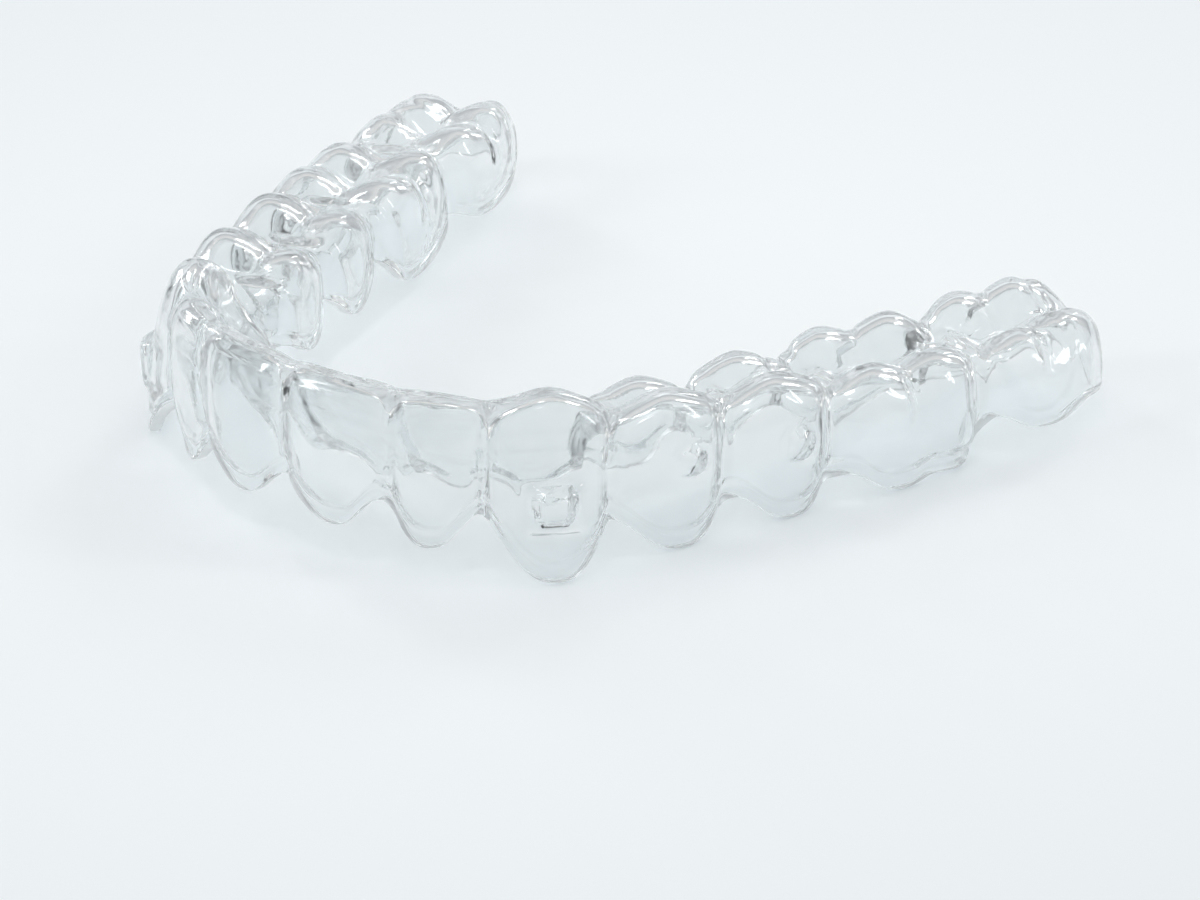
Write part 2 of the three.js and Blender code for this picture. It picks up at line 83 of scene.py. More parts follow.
TEETH = [
    dict(name="central incisor", width=7.15, top=-0.4, neck=-9.4, squareness=3.4,
         face=[2.95, 3.3, 3.35, 3.1, 2.55], back=[2.15, 1.2, -0.4, -2.3, -3.1],
         core=-2.6, crest=2.55, edge=(0.0, 0.02, 0.04, 0.6),
         rim=([(-9.65, 0.1)], [(-8.3, 0)]), gap=((-7.2, -0.5), (-6.8, 0))),
    dict(name="lateral incisor", width=5.25, top=-0.55, neck=-9.4, squareness=3.0,
         face=[2.85, 3.2, 3.3, 3.1, 2.6], back=[2.05, 1.0, -0.7, -2.4, -2.9],
         core=-2.8, crest=2.45, edge=(-0.3, 0.03, 0.14, 0.8),
         rim=([(-10.0, -0.5)], [(-8.2, 0)]), gap=((-7.35, -0.5), (-6.8, 0))),
    dict(name="canine", width=6.35, top=-0.15, neck=-10.6, squareness=2.8,
         face=[2.95, 3.9, 4.4, 4.65, 4.75], back=[1.95, 0.8, -1.3, -2.7, -3.0],
         core=-3.2, crest=2.4, edge=(0.1, 0.5, 0.5, 0.5),
         rim=([(-11.3, 0.2)], [(-8.8, 0)]), gap=((-8.1, 0.4), (-6.2, 0))),
    dict(name="first premolar", width=7.45, top=-1.1, neck=-10.2, squareness=3.1,
         face=[3.55, 3.95, 4.0, 3.75, 3.35], back=[-2.6, -3.0, -3.15, -3.0, -2.6],
         core=-4.6, crest=0.3, fossa=-3.2, ridge=-2.7,
         cusps=[(0.5, 2.5, -1.0), (0.2, -1.85, -1.85)],
         rim=([(-10.5, 0.9)], [(-7.6, 0.6)]), gap=((-7.75, 0.8), (-5.4, -0.3))),
    dict(name="second premolar", width=7.2, top=-1.2, neck=-9.6, squareness=3.2,
         face=[3.6, 4.0, 4.05, 3.75, 3.3], back=[-3.2, -3.6, -3.75, -3.5, -3.1],
         core=-4.8, crest=0.0, fossa=-3.2, ridge=-2.7,
         cusps=[(0.4, 2.45, -1.2), (0.2, -2.45, -1.55)],
         rim=([(-9.8, 1.0)], [(-7.5, 0)]), gap=((-7.25, 0.9), (-5.0, -0.5))),
    dict(name="first molar", width=10.5, top=-1.2, neck=-8.6, squareness=4.2,
         face=[4.25, 4.75, 5.0, 4.8, 4.3], back=[-3.7, -4.1, -4.25, -4.0, -3.6],
         core=-5.0, crest=0.0, fossa=-3.4, ridge=-2.6,
         cusps=[(-1.8, 3.1, -1.7), (2.9, 3.1, -1.6), (-2.1, -3.0, -1.3), (2.9, -2.6, -1.1)],
         grooves=((0.05, 3.4), (0.6, 3.0)),
         rim=([(-8.95, -0.5), (-8.35, 1.5), (-8.5, 4.2)], [(-7.85, -0.6)]),
         gap=((-5.5, 1.1), (-5.5, 0.3))),
    dict(name="second molar", width=10.0, top=-1.0, neck=-7.2, squareness=3.5,
         face=[4.0, 4.6, 4.95, 4.8, 4.4], back=[-3.8, -4.2, -4.3, -4.0, -3.65],
         core=-4.6, crest=0.0, fossa=-3.2, ridge=-2.2,
         cusps=[(-0.9, 3.1, -1.6), (3.0, 2.6, -1.1), (-1.7, -3.0, -1.0), (2.7, -2.7, -0.75)],
         grooves=((-0.15, 2.2), (0.5, 2.2)),
         rim=([(-6.85, -0.1)], [(-6.7, -0.1)]), gap=((-5.4, -1.9), (-4.7, 0.4))),
]
MIDLINE_GAP = ((-7.4, 0), (-6.8, 0))
WAIST = [0.93, 1.0, 1.0, 0.97, 0.9]

CONTACT_OVERLAP = 0.15
CORNER_RECESS, CORNER_POWER = 0.6, 6
LEAST_HALF_DEPTH = 0.25
EMBRASURE_FILL, WEB_ROOF, WEB_ROUNDING = 0.62, 0.8, 1.2
SCALLOP_FULLNESS = 1.35
INSIDE_ROUNDING = (0.8, 0.4)
OUTSIDE_ROUNDING = (1.2, 0.5)
CUSP_SLOPE_ALONG, CUSP_SLOPE_ACROSS, CUSP_BLUNTNESS = 0.42, 0.62, 0.6
CUSP_FILLET = 0.5
BRIM_INSET, BRIM_SLOPE, BRIM_SAG = 1.0, 0.9, 0.03
GROOVE_DEPTH, GROOVE_WIDTH = 0.55, 0.32
PIT_DEPTH, PIT_RADIUS, PIT_DOWN = 0.15, 0.4, 0.9

starts = np.concatenate([[0.0], np.cumsum([tooth["width"] for tooth in TEETH])])
middles = (starts[:-1] + starts[1:]) / 2
LAST = TEETH[-1]
ROW_END = middles[-1] + 0.75 * (LAST["face"][2] - LAST["back"][2]) / 2
print("half of the row is", round(float(starts[-1]), 1), "mm long")

# %% [markdown]
# ## The arch
#
# The tooth row follows a horseshoe. Half of it is one cubic Bezier curve, the same on both
# sides. A table of its running length turns s into a point and a direction, and a point off the
# curve is found by going v millimetres square to it.

# %% The arch curve
ARCH = np.array([[0.0, 0.0], [12.4, 0.0], [17.6, 4.7], [27.3, 43.7]])
curve_t = np.linspace(0, 1, 2001)[:, None]
curve_xy = ((1 - curve_t) ** 3 * ARCH[0] + 3 * (1 - curve_t) ** 2 * curve_t * ARCH[1]
            + 3 * (1 - curve_t) * curve_t ** 2 * ARCH[2] + curve_t ** 3 * ARCH[3])
curve_step = ((1 - curve_t) ** 2 * (ARCH[1] - ARCH[0])
              + 2 * (1 - curve_t) * curve_t * (ARCH[2] - ARCH[1])
              + curve_t ** 2 * (ARCH[3] - ARCH[2]))
curve_along = curve_step / np.linalg.norm(curve_step, axis=1)[:, None]
curve_s = np.concatenate([[0.0], np.cumsum(np.linalg.norm(np.diff(curve_xy, axis=0), axis=1))])


def place(side, s, v, z):
    """Point in mm: the arch point at s, plus v outwards; past the end the arch runs straight."""
    held = np.clip(s, 0, curve_s[-1])
    middle = np.stack([np.interp(held, curve_s, curve_xy[:, k]) for k in (0, 1)], -1)
    along = np.stack([np.interp(held, curve_s, curve_along[:, k]) for k in (0, 1)], -1)
    past = s - held
    x = middle[..., 0] + past * along[..., 0] + v * along[..., 1]
    y = middle[..., 1] + past * along[..., 1] - v * along[..., 0]
    return np.stack([side * x, y, z], -1)


print("arch length", round(float(curve_s[-1]), 2), "mm")

# %% [markdown]
# ## Blending
#
# Teeth are round where they meet, and a formed sheet is rounder still. A *smooth maximum* joins
# two heights with a fillet instead of a crease, and its width is the size of that fillet. A
# smooth curve through a few measured values gives the profiles.

# %% Small curves that everything below is made of


def smooth_step(t):
    """3t^2 - 2t^3 between 0 and 1, flat outside."""
    c = np.clip(t, 0, 1)
    return c * c * (3 - 2 * c)


def smooth_max(a, b, k):
    """The larger of a and b, with a parabolic fillet of width k where they cross."""
    return np.maximum(a, b) + np.maximum(k - np.abs(a - b), 0) ** 2 / (4 * k)


def smooth_min(a, b, k):
    """The smaller of a and b, with the same fillet."""
    return -smooth_max(-a, -b, k)


def through(values, t):
    """Cubic curve through evenly spaced values; each slope is that between its neighbours."""
    values = np.asarray(values, float)
    last = len(values) - 1
    x = np.clip(t, 0, 1) * last
    i = np.minimum(x.astype(int), last - 1)
    f = x - i
    p1, p2 = values[i], values[i + 1]
    m1 = (p2 - values[np.maximum(i - 1, 0)]) / 2
    m2 = (values[np.minimum(i + 2, last)] - p1) / 2
    return p1 + f * (m1 + f * (3 * (p2 - p1) - 2 * m1 - m2 + f * (m1 + m2 - 2 * (p2 - p1))))


def blunt(x):
    """Distance from a ridge line with a rounded tip."""
    return np.hypot(x, CUSP_BLUNTNESS) - CUSP_BLUNTNESS


# %% [markdown]
# ## One tooth
#
# A tooth could be sculpted, but then nothing else could follow its form. Here it is a *distance
# field*: a function that is negative inside, zero on the surface and grows outwards in
# millimetres. The side walls are a rounded square whose size changes with height, and the
# biting surface is a height map: an edge for the front teeth, or cones for the cusps joined by
# the ridges at both ends. Between cusps the molars' walls carry a shallow groove that ends in a
# small pit.

# %% Side walls of a tooth


def groove_depth(tooth, wall, u, z):
    """Bell exp(-(x/width)^2) across the groove, fading downwards, plus a round bell as a pit."""
    if "grooves" not in tooth:
        return 0.0
    at, length = tooth["grooves"][wall]
    down = (tooth["top"] - z) / length
    fade = 1 - smooth_step(1.4 * down - 0.4)
    from_pit = np.hypot(u - at, length * (down - PIT_DOWN))
    return (GROOVE_DEPTH * fade * np.exp(-((u - at) / GROOVE_WIDTH) ** 2)
            + PIT_DEPTH * np.exp(-(from_pit / PIT_RADIUS) ** 2))


def outline(tooth, u, v, z):
    """Level (|u/a|^n + |v/b|^n)^(1/n) of the rounded square, 1 on the wall, and its growth."""
    t = np.maximum((tooth["top"] - z) / (tooth["top"] - tooth["neck"]), 0)
    corner = np.minimum(np.abs(2 * u / tooth["width"]), 1) ** CORNER_POWER
    recess = CORNER_RECESS * corner * np.minimum(0.35 + 2.5 * t, 1)
    face = through(tooth["face"], t) - groove_depth(tooth, 0, u, z) - recess
    back = through(tooth["back"], t) + groove_depth(tooth, 1, u, z) + recess / 2
    length = (tooth["width"] / 2 + CONTACT_OVERLAP) * through(WAIST, t)
    depth = np.maximum((face - back) / 2, LEAST_HALF_DEPTH)
    n = tooth["squareness"]
    along = np.abs(u) / length
    across = np.abs(v - (face + back) / 2) / depth
    level = np.maximum((along ** n + across ** n) ** (1 / n), 0.05)
    growth = np.hypot(along ** (n - 1) / length, across ** (n - 1) / depth) / level ** (n - 1)
    return level, growth


def side_distance(tooth, u, v, z):
    """Distance from the side walls: how far the level is past 1, over how fast it grows."""
    step = 0.05
    level, growth = outline(tooth, u, v, z)
    rise = np.abs(outline(tooth, u, v, z + step)[0] - level) / step
    return (level - 1) / np.maximum(np.hypot(growth, np.minimum(rise, growth)), 1e-9)


# %% Biting surface of a tooth


def bite_height(tooth, u, v):
    """Height of the biting surface: a falling edge, or the smooth maximum of cusps and ridges."""
    if "edge" in tooth:
        peak, mesial, distal, corner = tooth["edge"]
        fall = np.where(u < peak, mesial, distal) * blunt(u - peak)
        return tooth["top"] - fall - corner * np.abs(2 * u / tooth["width"]) ** CORNER_POWER
    height = np.full(np.shape(u), tooth["fossa"])
    for at_u, at_v, peak in tooth["cusps"]:
        cone = peak - CUSP_SLOPE_ALONG * blunt(u - at_u) - CUSP_SLOPE_ACROSS * blunt(v - at_v)
        height = smooth_max(height, cone, CUSP_FILLET)
    from_brim = np.abs(u) - tooth["width"] / 2 + BRIM_INSET
    brim = tooth["ridge"] - BRIM_SLOPE * blunt(from_brim) - BRIM_SAG * v * v
    return smooth_max(height, brim, CUSP_FILLET)


def bite_distance(tooth, u, v, z):
    """Height above the biting surface, divided by the length of its slope vector."""
    step = 0.03
    height = bite_height(tooth, u, v)
    du = (bite_height(tooth, u + step, v) - height) / step
    dv = (bite_height(tooth, u, v + step) - height) / step
    return (z - height) / np.sqrt(1 + du * du + dv * dv)


# %% [markdown]
# ## The whole row, and the trimmed edge
#
# The row is the smooth minimum of its teeth. Between two teeth the sheet bridges the narrow
# space instead of diving into it, so a *web* fills most of that space. The rim is a chain of
# scallops: low in the middle of each tooth, with a rounded peak at each contact.

# %% The row as one field


def neighbours(s):
    """Index of the teeth before and after s, and the share of the one after."""
    after = np.clip(np.searchsorted(middles, s, side="right"), 0, len(middles))
    before = np.clip(after - 1, 0, len(middles) - 1)
    after = np.clip(after, 0, len(middles) - 1)
    before = np.where(s < middles[0], 0, before)
    span = np.where(after > before, middles[after] - middles[before], 1)
    return before, after, np.where(after > before, (s - middles[before]) / span, 0)


def of_teeth(key):
    """One value of every tooth, as an array."""
    return np.array([tooth[key] for tooth in TEETH], float)


def profiles_at(index, z):
    """Face and back of the tooth with that index at height z, for whole arrays."""
    top, neck = of_teeth("top")[index], of_teeth("neck")[index]
    t = (top - z) / (top - neck)
    walls = []
    for key in ("face", "back"):
        wall = np.zeros(np.shape(z))
        for number, tooth in enumerate(TEETH):
            here = index == number
            wall[here] = through(tooth[key], t[here])
        walls.append(wall)
    return walls


def web_distance(s, v, z):
    """Distance from the web: what both neighbours share, narrowed, below a rounded roof."""
    before, after, _ = neighbours(s)
    face_1, back_1 = profiles_at(before, z)
    face_2, back_2 = profiles_at(after, z)
    face, back = np.minimum(face_1, face_2), np.maximum(back_1, back_2)
    side = np.abs(v - (face + back) / 2) - EMBRASURE_FILL * (face - back) / 2
    roof = np.minimum(of_teeth("core")[before], of_teeth("core")[after]) + WEB_ROOF
    return np.maximum(smooth_max(side, z - roof, WEB_ROUNDING), s - ROW_END)


def row_field(s, v, z, rounding):
    """Distance from the tooth row: smooth minimum of the web and of each tooth near s."""
    edge, join = rounding
    beyond = 3.0
    field = web_distance(s, v, z)
    for tooth, middle in zip(TEETH, middles):
        for at, turn in ((middle, 1), (-middle, -1)):
            u = turn * (s - at)
            near = np.abs(u) < tooth["width"] / 2 + beyond
            if near.any():
                spot = (u[near], v[near], z[near])
                own = smooth_max(side_distance(tooth, *spot), bite_distance(tooth, *spot), edge)
                field[near] = smooth_min(field[near], own, join)
    return field


# %% The trimmed edge


def rim_keys(wall):
    """Low points and peaks of the rim along one wall, as s and height."""
    keys = [(MIDLINE_GAP[wall][1], MIDLINE_GAP[wall][0])]
    for tooth, middle, end in zip(TEETH, middles, starts[1:]):
        keys += [(middle + shift, height) for height, shift in tooth["rim"][wall]]
        keys.append((end + tooth["gap"][wall][1], tooth["gap"][wall][0]))
    return np.array(keys)


def rim_of_wall(keys, s):
    """Height between a low point and a peak: a smooth step of their share of distance."""
    k = np.clip(np.searchsorted(keys[:, 0], s, side="right"), 1, len(keys) - 1)
    low = np.where(k % 2 == 0, k - 1, k)
    high = np.where(k % 2 == 0, k, k - 1)
    t = np.clip((s - keys[low, 0]) / (keys[high, 0] - keys[low, 0]), 0, 1)
    rise = smooth_step(t ** SCALLOP_FULLNESS)
    return keys[low, 1] + (keys[high, 1] - keys[low, 1]) * rise


def rim_height(s, lean):
    """Height of the trimmed edge; lean is 1 on the cheek side and -1 on the tongue side."""
    face, back = rim_of_wall(rim_keys(0), s), rim_of_wall(rim_keys(1), s)
    return back + (face - back) * (lean + 1) / 2


# %% [markdown]
# ## Bumps over the attachments
#
# Small blocks of resin are bonded to some teeth so that the shell can grip them, and the sheet
# forms a hollow bump over each. On the canines it is a bevelled block with a ledge along its
# top; on the premolars of one side it is a low round button. Each bump is one more distance
# field, joined to the row's. The same field, drawn in by the wall, hollows it. The sheet is
# stretched over a bump, so its wall is thinner there.

# %% The bumps as fields
BUMP_WALL = 0.55
BLOCK_ROUNDING, FRONT_ROUNDING, BLOCK_FILLET = 0.5, 0.3, 0.3
END_SLOPE, LID_SLOPE = 1.25, 1.05
DOME_SINK, DOME_FILLET = 1.0, 0.25
OUT_OF_REACH = 9.0
WEDGE = dict(width=3.1, height=3.2, ledge=1.0, toe=0.35, flank=0.5, bevel=0.25, level=-6.3)
WEDGE_S = middles[2] + 0.1
DOMES = [
    dict(s=middles[3] + 1.15, width=2.5, height=2.7, stand=0.6, level=-4.5),
    dict(s=middles[4] + 0.95, width=2.6, height=2.8, stand=0.6, level=-4.6),
]


def reach(field, level, start, spacing=0.2, longest=22.0):
    """Distance along each ray at which the field first reaches a level: march, then halve."""
    near = start.copy()
    far = start.copy()
    going = field(far) < level
    for _ in range(int(longest / spacing)):
        near = np.where(going, far, near)
        far = np.where(going, far + spacing, far)
        going = going & (field(far) < level)
        if not going.any():
            break
    for _ in range(16):
        middle = (near + far) / 2
        inside = field(middle) < level
        near, far = np.where(inside, middle, near), np.where(inside, far, middle)
    return (near + far) / 2


def wall_face(s, z):
    """v of the wall's outer face on the cheek side."""
    at_s, at_z = np.array([s]), np.array([z])
    return float(reach(lambda v: row_field(at_s, v, at_z, OUTSIDE_ROUNDING), WALL, np.ones(1))[0])


wedge_z = WEDGE["level"] + np.array([-0.5, 0.5]) * WEDGE["height"]
wedge_wall = np.array([wall_face(WEDGE_S, z) for z in wedge_z])
wedge_stand = np.array([WEDGE["toe"], WEDGE["ledge"]])
for dome in DOMES:
    dome["v"] = wall_face(dome["s"], dome["level"])


def wedge_field(s, v, z, inset):
    """Bevelled block: smooth maximum of the distances past its front and its sloping sides."""
    t = (z - wedge_z[0]) / WEDGE["height"]
    wall = wedge_wall[0] + (wedge_wall[1] - wedge_wall[0]) * t
    stand = wedge_stand[0] + (wedge_stand[1] - wedge_stand[0]) * np.clip(t, 0, 1)
    up = np.clip((v - wall) / np.mean(wedge_stand), 0, 1.5)
    rise = (wedge_wall[1] - wedge_wall[0] + wedge_stand[1] - wedge_stand[0]) / WEDGE["height"]
    front = (v - wall - stand) / np.hypot(1, rise)
    ends = np.abs(s - WEDGE_S) - WEDGE["width"] / 2 + WEDGE["flank"] * up
    lids = np.abs(z - WEDGE["level"]) - WEDGE["height"] / 2 + WEDGE["bevel"] * up
    sides = smooth_max(ends / END_SLOPE, lids / LID_SLOPE, BLOCK_ROUNDING)
    return smooth_max(sides, front, FRONT_ROUNDING) + inset


def dome_field(dome, s, v, z, inset):
    """Half of a flattened ball: (|p / radii| - 1) times the smallest radius."""
    radii = np.array([dome["width"] / 2, dome["stand"] + DOME_SINK, dome["height"] / 2]) - inset
    p = np.stack([s - dome["s"], v - dome["v"] + DOME_SINK, z - dome["level"]], -1) / radii
    return (np.linalg.norm(p, axis=-1) - 1) * radii.min()


def with_bumps(field, side, s, v, z, inset):
    """Row field joined with the bumps of this side of the mouth."""
    block = np.where(v > 0, wedge_field(s, v, z, inset), OUT_OF_REACH)
    field = smooth_min(field, block, BLOCK_FILLET)
    for dome in DOMES:
        button = np.where((side > 0) & (v > 0), dome_field(dome, s, v, z, inset), OUT_OF_REACH)
        field = smooth_min(field, button, DOME_FILLET)
    return field


print("ledge stands", WEDGE["ledge"], "mm proud of the wall at v =", round(wedge_wall[1], 2))

# %% [markdown]
# ## The skin
#
# Both faces of the wall are found on the same fan of rays, so that they never cross: each
# section across the row has rays from straight up at the crest to level at the rim. Along a ray
# the field is zero at the inner face and one wall thickness at the outer one. The two ends of
# the row are closed by fans of columns turned about an upright line in the last molar.

# %% Columns around the shell
PER_MM = 3.95
CROWDING = 0.45
FAN_COLUMNS = 26


def stations_of_side():
    """Places along one side, crowded by a sine at the contacts, with more at fine forms."""
    parts = []
    for tooth, start, end in zip(TEETH, starts, starts[1:]):
        last = tooth is LAST
        end = ROW_END if last else end
        count = int(round((end - start) * PER_MM))
        t = 2 * np.arange(count) / count - 1
        eased = t if last else (1 - CROWDING) * t + CROWDING * np.sin(t * np.pi / 2)
        parts.append(start + (end - start) * (eased + 1) / 2)
    block_flank = WEDGE["width"] / 2 - WEDGE["flank"] * np.linspace(-0.3, 1.3, 7)
    parts += [[ROW_END], WEDGE_S - block_flank, WEDGE_S + block_flank]
    across_groove = GROOVE_WIDTH * np.linspace(-1.8, 1.8, 9)
    for tooth, middle in zip(TEETH, middles):
        if "grooves" in tooth:
            parts.append(middle + tooth["grooves"][0][0] + across_groove)
    return np.sort(np.concatenate(parts))


stations = stations_of_side()
count = len(stations)
one_side = np.arange(count)
fan = np.arange(1, FAN_COLUMNS) * np.pi / FAN_COLUMNS
column_station = np.concatenate([
    one_side[:0:-1], one_side, np.full(len(fan), count - 1),
    one_side[:0:-1], one_side, np.full(len(fan), count - 1)])
column_side = np.concatenate([
    -np.ones(count - 1), np.ones(count), np.ones(len(fan)),
    np.ones(count - 1), -np.ones(count), -np.ones(len(fan))])
column_turn = np.concatenate([
    np.zeros(2 * count - 1), fan, np.full(2 * count - 1, np.pi), np.pi - fan])
print(len(column_station), "columns")

# %% [markdown]
# The rows follow the same idea. Each has a share w, from 0 at the crest to nearly 1 at the rim.
# Its ray leans over from upright to level as w grows, and past `SINK_SHARE` its start also sinks
# from the crown's core to the rim. The rows are spaced evenly, except over the block on the
# canine: there some of them move close together, to where they meet its ledge and its foot, and
# the rays run level sooner, because a ledge that is crossed by slanting rows comes out as a row
# of small teeth. The last rows before the rim are closer together too, for the fine line that
# comes next.

# %% Rays
ROWS = 46
RIM_SHARE = 0.985
NECK_ROWS, NECK_SHARE = 8, 0.86
SINK_SHARE, LEVEL_SHARE, LEVEL_SHARE_OF_BLOCK, HELD_SHARE = 0.36, 0.7, 0.45, 0.76
BLOCK_REACH, BLOCK_FADE = 1.7, 1.8
END_REACH = 4.8
block_s = np.array([WEDGE_S])
low_index, high_index, block_share = neighbours(block_s)
block_core = float(of_teeth("core")[low_index[0]] + smooth_step(block_share[0])
                   * (of_teeth("core")[high_index[0]] - of_teeth("core")[low_index[0]]))
block_rim = float(rim_height(block_s, 1.0)[0])


def share_at(z):
    """w of the level ray that meets the block at height z."""
    return SINK_SHARE + (1 - SINK_SHARE) * (z - block_core) / (block_rim - block_core)


def spaced(rows):
    """w of so many rows: even from the crest down, then NECK_ROWS closer ones to the rim."""
    return np.concatenate([np.linspace(0, NECK_SHARE, rows - NECK_ROWS, endpoint=False),
                           np.linspace(NECK_SHARE, RIM_SHARE, NECK_ROWS)])


fine_z = np.concatenate([
    wedge_z[1] + np.array([0.16, 0.08, 0.02, -0.03, -0.1, -0.2]),
    wedge_z[1] - BUMP_WALL + np.array([0.06, 0.0, -0.06]),
    wedge_z[0] + np.array([0.1, -0.05])])
column_s = stations[column_station][:, None]
turn = column_turn[:, None]
side = np.broadcast_to(column_side[:, None], (len(column_side), ROWS))
lean = np.cos(turn)
fade = 1 - smooth_step((np.abs(column_s - WEDGE_S) - BLOCK_REACH) / BLOCK_FADE)
over_block = fade * (lean > 0.5)
even_w = spaced(ROWS)
block_w = np.sort(np.concatenate([spaced(ROWS - len(fine_z)), share_at(fine_z)]))
w = even_w + over_block * (block_w - even_w)
before, after, share = neighbours(column_s)
share = smooth_step(share)
core = of_teeth("core")[before] * (1 - share) + of_teeth("core")[after] * share
crest = of_teeth("crest")[before] * (1 - share) + of_teeth("crest")[after] * share
rim_z = rim_height(column_s + END_REACH * np.sin(turn), lean)
level_from = LEVEL_SHARE + (LEVEL_SHARE_OF_BLOCK - LEVEL_SHARE) * over_block
angle = np.pi / 2 * np.clip(1 - w / level_from, 0, 1)
sink = np.maximum(w - SINK_SHARE, 0) / (1 - SINK_SHARE)
ray_out, ray_up = np.cos(angle), np.sin(angle)
ray_v = crest * (1 - sink)
ray_z = core + (rim_z - core) * sink
level_z = block_core + (block_rim - block_core) * sink
held = over_block * (1 - smooth_step((w - HELD_SHARE) / (RIM_SHARE - HELD_SHARE)))
ray_z = ray_z + held * (level_z - ray_z)


def ray_point(r):
    """Row coordinates (s, v, z) at distance r along every ray."""
    s = column_s + r * ray_out * np.sin(turn)
    return s, ray_v + r * ray_out * lean, ray_z + r * ray_up


def inside_level(r):
    """Field of the cavity along the rays, bumps and all."""
    s, v, z = ray_point(r)
    return with_bumps(row_field(s, v, z, INSIDE_ROUNDING), side, s, v, z, BUMP_WALL)


def outside_level(r):
    """Field of the skin, counted from the wall's outer face."""
    s, v, z = ray_point(r)
    field = row_field(s, v, z, OUTSIDE_ROUNDING) - WALL
    return with_bumps(field, side, s, v, z, 0.0)


inner_r = reach(inside_level, 0.0, np.zeros(side.shape))
outer_r = np.maximum(reach(outside_level, 0.0, inner_r), inner_r + LEAST_WALL)
print("wall from", round(float((outer_r - inner_r).min()), 2), "mm along the rays")

# %% [markdown]
# Just above the gum line the sheet draws in round the neck of each tooth, and its last
# millimetre turns out again to the trimmed edge. That shallow line is thinner than anything the
# solid shows, but it catches light all along the scallops, so both faces are drawn in there.

# %% The neck line
NECK_DEPTH, NECK_HEIGHT, NECK_WIDTH = 0.25, 0.85, 0.4
above_rim = ray_z - ray_z[:, -1:]
drawn_in = NECK_DEPTH * np.exp(-((above_rim - NECK_HEIGHT) / NECK_WIDTH) ** 2)
inner = place(side, *ray_point(inner_r - drawn_in))
outer = place(side, *ray_point(outer_r - drawn_in))
print("neck line", NECK_DEPTH, "mm deep,", NECK_HEIGHT, "mm above the rim")

# %% [markdown]
# The trimmed edge is cut and then polished, so its two corners are slightly rounded. A few
# more rows swing from the outer face to the inner one, around the middle of the wall.

# %% The polished rim
RIM_ROWS = 5
RIM_BULGE, RIM_SQUARENESS = 0.14, 0.7
swing = (np.arange(1, RIM_ROWS + 1) * np.pi / (RIM_ROWS + 1))[None, :, None]
middle = (outer[:, -1:] + inner[:, -1:]) / 2
half = (outer[:, -1:] - inner[:, -1:]) / 2
down = np.array([0.0, 0.0, -1.0])
rim = (middle + half * np.sign(np.cos(swing)) * np.abs(np.cos(swing)) ** RIM_SQUARENESS
       + down * RIM_BULGE * np.sin(swing) ** RIM_SQUARENESS)
print("rim rounded by", RIM_BULGE, "mm")

# %% [markdown]
# ## Setting it down
#
# A shell laid on a table tips until its rim touches in at least three places. The solid was set
# down in that way, so the fine skin takes the same tilt, about the left-right axis, and the same
# place on the table. The few points that a finer mesh puts past the solid's box, by less than a
# tenth of a millimetre, are drawn back to it.

# %% The resting place
REST_TILT = math.radians(-5.8416)
skin = np.concatenate([outer, rim, inner[:, ::-1]], axis=1)
tip = np.array([[1, 0, 0],
                [0, math.cos(REST_TILT), -math.sin(REST_TILT)],
                [0, math.sin(REST_TILT), math.cos(REST_TILT)]])
skin = skin @ tip.T
box_low, box_high = (np.array(corner) / MM for corner in cad_box)
low, high = skin.min(axis=(0, 1)), skin.max(axis=(0, 1))
shift = np.array([0.0, (box_low[1] + box_high[1] - low[1] - high[1]) / 2, box_low[2] - low[2]])
skin = skin + shift
print("past the box by", np.round(np.maximum(box_low - skin.min((0, 1)), 0), 3),
      np.round(np.maximum(skin.max((0, 1)) - box_high, 0), 3))
skin = np.clip(skin, box_low, box_high)

# %% [markdown]
# The grid becomes a mesh. Each crest is shared by the column on the cheek side and the one on
# the tongue side, and all the columns of an end fan share one crest point, so equal points are
# given one number and faces that shrink to a line are dropped. The faces then close the skin
# without a seam. The points of the trimmed edge also carry a mark, for the finish further down.

# %% Mesh of the shell


def shell_mesh(name, grid, edge_rows):
    """Closed mesh of a grid that wraps in its first direction, with equal points merged."""
    columns, rows = grid.shape[:2]
    flat = grid.reshape(-1, 3)
    keys, index = np.unique(np.round(flat, 4), axis=0, return_inverse=True)
    index = index.reshape(columns, rows)
    nxt = np.roll(index, -1, axis=0)
    quads = np.stack([index[:, :-1], index[:, 1:], nxt[:, 1:], nxt[:, :-1]], -1).reshape(-1, 4)
    triangles = np.concatenate([quads[:, [0, 1, 2]], quads[:, [0, 2, 3]]])
    triangles = triangles[(triangles != np.roll(triangles, 1, axis=1)).all(axis=1)]
    mesh = bpy.data.meshes.new(name)
    mesh.vertices.add(len(keys))
    mesh.vertices.foreach_set("co", (keys * MM).ravel())
    mesh.loops.add(3 * len(triangles))
    mesh.loops.foreach_set("vertex_index", triangles.ravel())
    mesh.polygons.add(len(triangles))
    mesh.polygons.foreach_set("loop_start", np.arange(0, 3 * len(triangles), 3))
    mesh.update(calc_edges=True)
    mesh.validate()
    mesh.shade_smooth()
    on_edge = np.zeros(len(keys), np.float32)
    on_edge[index[:, edge_rows]] = 1
    mesh.attributes.new("trimmed_edge", "FLOAT", "POINT").data.foreach_set("value", on_edge)
    return mesh


edge_rows = slice(ROWS, ROWS + RIM_ROWS)
shell = bpy.data.objects.new("clear_shell", shell_mesh("clear_shell", skin, edge_rows))
bpy.context.scene.collection.objects.link(shell)
print(len(shell.data.polygons), "triangles in the shell")

